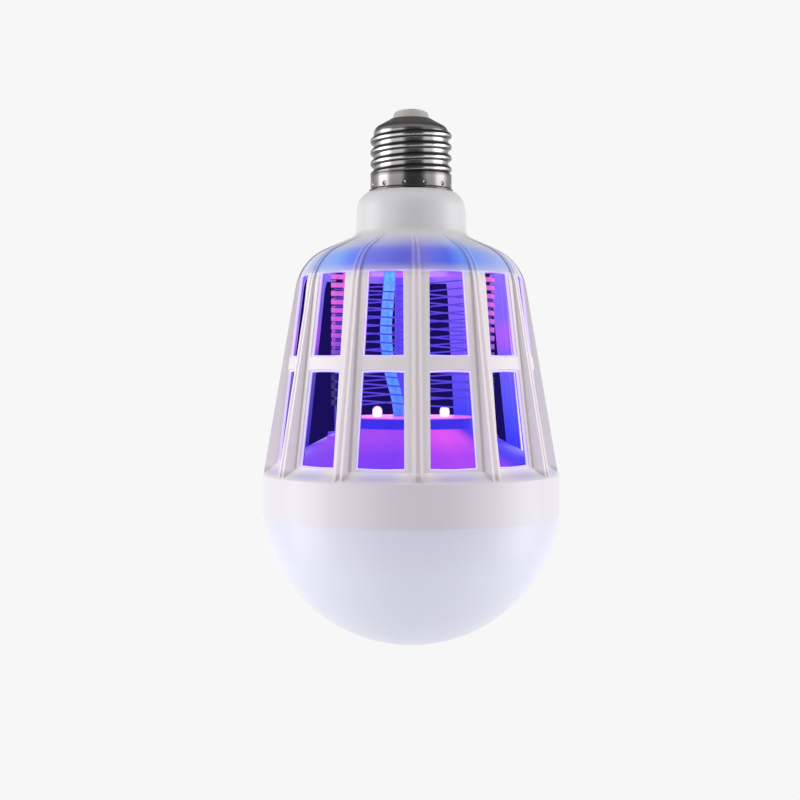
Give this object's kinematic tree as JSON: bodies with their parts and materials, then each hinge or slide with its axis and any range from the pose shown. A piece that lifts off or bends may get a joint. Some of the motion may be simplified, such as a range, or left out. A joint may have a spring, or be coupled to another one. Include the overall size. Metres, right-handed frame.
{
  "type": "insect killer light bulb",
  "caption": "Screw-cap bulb with a finned white cage around a wire grid and violet lamps, and an opal dome below.",
  "frame": {"origin": "on the bulb's axis, in the plane of the screw cap's lower rim", "axes": "+Z along the axis towards the cap's centre contact, +X and +Y along two of the cage's bars"},
  "size_m": [0.0966, 0.0966, 0.1736],
  "materials": {
    "contact": "plain stamped contact",
    "insulator": "light grey moulding",
    "nickel": "bright nickel plate on rolled sheet",
    "white_plastic": "satin white moulding, a little translucent",
    "grid_plastic": "white moulding lit violet",
    "grid_wire": "bare drawn wire",
    "sleeve": "pale silicone sleeve",
    "live_insulation": "red insulation",
    "neutral_insulation": "black insulation",
    "lamp_board": "white solder mask",
    "driver_board": "green solder mask",
    "steel": "zinc plated screw",
    "capacitor_can": "dark shrink sleeve on a can",
    "capacitor_film": "dipped red coat",
    "ferrite": "dark sintered core",
    "copper_winding": "taped winding",
    "black_resin": "moulded package",
    "capacitor_disc": "dipped disc",
    "resistor_coat": "lacquered coat",
    "panel_metal": "white coated lamp plate",
    "opal_plastic": "milky diffuser",
    "violet_lamp": "clear lens over a lit violet chip",
    "lamp_phosphor": "small white lamp"
  },
  "bodies": {
    "root": {"base_ring": "white_plastic", "base_tray": "grid_plastic", "boost_capacitors": "capacitor_disc", "boost_diodes": "black_resin", "bridge_rectifier": "black_resin", "cage_bars": "white_plastic", "cap_insulator": "insulator", "cap_shell": "nickel", "centre_contact": "contact", "comb_post_1": "grid_plastic", "comb_post_2": "grid_plastic", "comb_post_3": "grid_plastic", "comb_post_4": "grid_plastic", "comb_post_5": "grid_plastic", "comb_post_6": "grid_plastic", "control_chip": "black_resin", "cross_bars": "white_plastic", "diffuser_dome": "opal_plastic", "driver_board": "driver_board", "driver_screws": "steel", "film_capacitor": "capacitor_film", "filter_choke": "ferrite", "fuse_resistor": "resistor_coat", "grid_top_plate": "grid_plastic", "lead_sleeve": "sleeve", "led_panel": "panel_metal", "live_lead": "live_insulation", "live_wire_1": "grid_wire", "live_wire_2": "grid_wire", "neutral_lead": "neutral_insulation", "panel_leads": "neutral_insulation", "panel_screws": "steel", "plate_screws": "steel", "return_wire_1": "grid_wire", "return_wire_2": "grid_wire", "smoothing_capacitor": "capacitor_can", "transformer_core": "ferrite", "transformer_winding": "copper_winding", "upper_housing": "white_plastic", "uv_board": "lamp_board", "uv_board_screws": "steel", "uv_leads": "live_insulation", "uv_led_1": "violet_lamp", "uv_led_2": "violet_lamp", "uv_led_3": "violet_lamp", "uv_led_4": "violet_lamp", "white_leds": "lamp_phosphor"}
  },
  "joints": []
}
